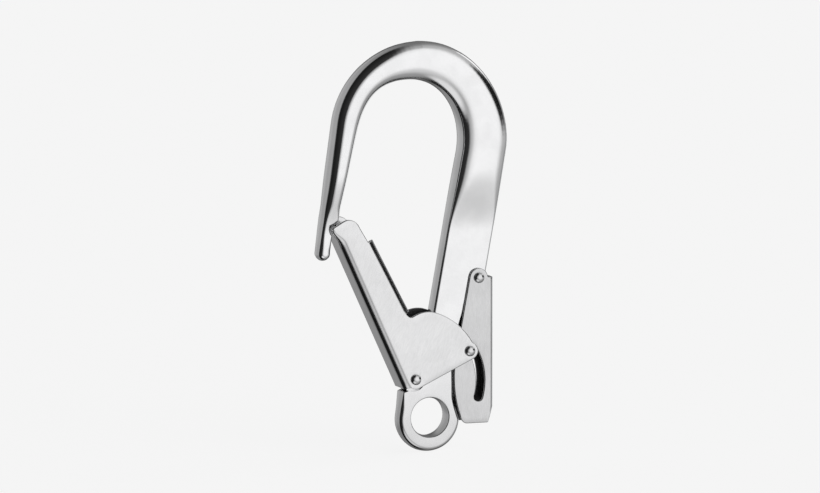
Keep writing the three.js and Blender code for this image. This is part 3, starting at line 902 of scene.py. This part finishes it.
def make_world():
    """Soft front light, dark at the left, a grey room behind, a little dimmer below, and the cards."""
    world = bpy.data.worlds.new("studio")
    bpy.context.scene.world = world
    world.use_nodes = True
    nodes = Nodes(world.node_tree)
    way = nodes.add("ShaderNodeTexCoord").outputs["Generated"]
    facing = nodes.add("ShaderNodeVectorMath", {0: way, 1: FRONT}, operation="DOT_PRODUCT")
    angle = nodes.math("DIVIDE", nodes.math("ARCCOSINE", facing.outputs["Value"]), math.pi)
    parts = nodes.add("ShaderNodeSeparateXYZ", {"Vector": way})
    left = ramp(nodes, angle, LEFT_LIGHTS)
    right = ramp(nodes, angle, RIGHT_LIGHTS)
    side = nodes.spread(parts.outputs["X"], *SIDES_MEET, 0, 1)
    both = nodes.add("ShaderNodeMix", {"Factor": side, 6: left, 7: right}, data_type="RGBA").outputs[2]
    dim = nodes.spread(parts.outputs["Z"], *LOW_LIGHT)
    room = nodes.add("ShaderNodeVectorMath", {0: both, "Scale": dim}, operation="SCALE").outputs[0]
    for direction, inner, outer, level in CARDS:
        towards = Vector(direction).normalized()
        near = nodes.add("ShaderNodeVectorMath", {0: way, 1: towards}, operation="DOT_PRODUCT")
        limits = [math.cos(math.radians(a)) for a in (outer, inner)]
        share = nodes.spread(near.outputs["Value"], *limits, 0, 1)
        card = {"Factor": share, 6: room, 7: (level,) * 3 + (1,)}
        room = nodes.add("ShaderNodeMix", card, data_type="RGBA").outputs[2]
    reflected = nodes.add("ShaderNodeBackground", {"Color": room})
    plain = nodes.add("ShaderNodeBackground", {"Color": (BACKGROUND,) * 3 + (1,)})
    seen = nodes.add("ShaderNodeLightPath").outputs["Is Camera Ray"]
    mixed = nodes.add("ShaderNodeMixShader", {"Fac": seen, 1: reflected.outputs[0], 2: plain.outputs[0]})
    nodes.add("ShaderNodeOutputWorld", {"Surface": mixed.outputs[0]})


def make_floor():
    """A pale floor just under the eye. It catches a faint shadow, and the steel doesn't mirror it."""
    level = CAD_BOX[0].z - FLOOR_DROP
    bpy.ops.mesh.primitive_plane_add(size=FLOOR_SIZE, location=(0, 0, level))
    floor = bpy.context.object
    floor.name = "floor"
    floor.visible_glossy = False
    material = bpy.data.materials.new("pale_floor")
    material.use_nodes = True
    nodes = Nodes(material.node_tree)
    lit = nodes.add("ShaderNodeBsdfDiffuse", {"Color": (FLOOR_TONE,) * 3 + (1,)})
    glow = nodes.add("ShaderNodeEmission", {"Color": (BACKGROUND,) * 3 + (1,), "Strength": FLOOR_GLOW})
    both = nodes.add("ShaderNodeMixShader", {"Fac": FLOOR_SHARE, 1: glow.outputs[0], 2: lit.outputs[0]})
    nodes.add("ShaderNodeOutputMaterial", {"Surface": both.outputs[0]})
    floor.data.materials.append(material)


def make_camera():
    azimuth, elevation = math.radians(CAMERA_AZIMUTH), math.radians(CAMERA_ELEVATION)
    back = Vector((
        math.sin(azimuth) * math.cos(elevation),
        -math.cos(azimuth) * math.cos(elevation),
        math.sin(elevation),
    ))
    data = bpy.data.cameras.new("camera")
    data.lens = CAMERA_LENS
    data.clip_end = 100
    camera = bpy.data.objects.new("camera", data)
    bpy.context.scene.collection.objects.link(camera)
    distance = VIEW_WIDTH * CAMERA_LENS / data.sensor_width
    camera.location = (CAD_BOX[0] + CAD_BOX[1]) / 2 + AIM + back * distance
    camera.rotation_mode = "QUATERNION"
    camera.rotation_quaternion = (-back).to_track_quat("-Z", "Y")
    bpy.context.scene.camera = camera


# ---- build ---------------------------------------------------------------

make_body()
make_gate()
make_lever()
make_rivet("gate_rivet_domed", "gate_rivet", GATE, "gate")
make_rivet("lever_rivet_domed", "lever_rivet", LEVER, "lever")
make_rivet("lock_pin_domed", "lock_pin", GATE, "gate", PIN_RADIUS, GATE["sheet"] + PIN_SHOULDER_GAP)
dress("gate_bush", TURNED, "edges")
dress("gate_spring", DRAWN, "round")
dress("lever_spring", DRAWN, "round")
make_world()
make_floor()
make_camera()
bpy.context.scene.view_settings.view_transform = "Standard"
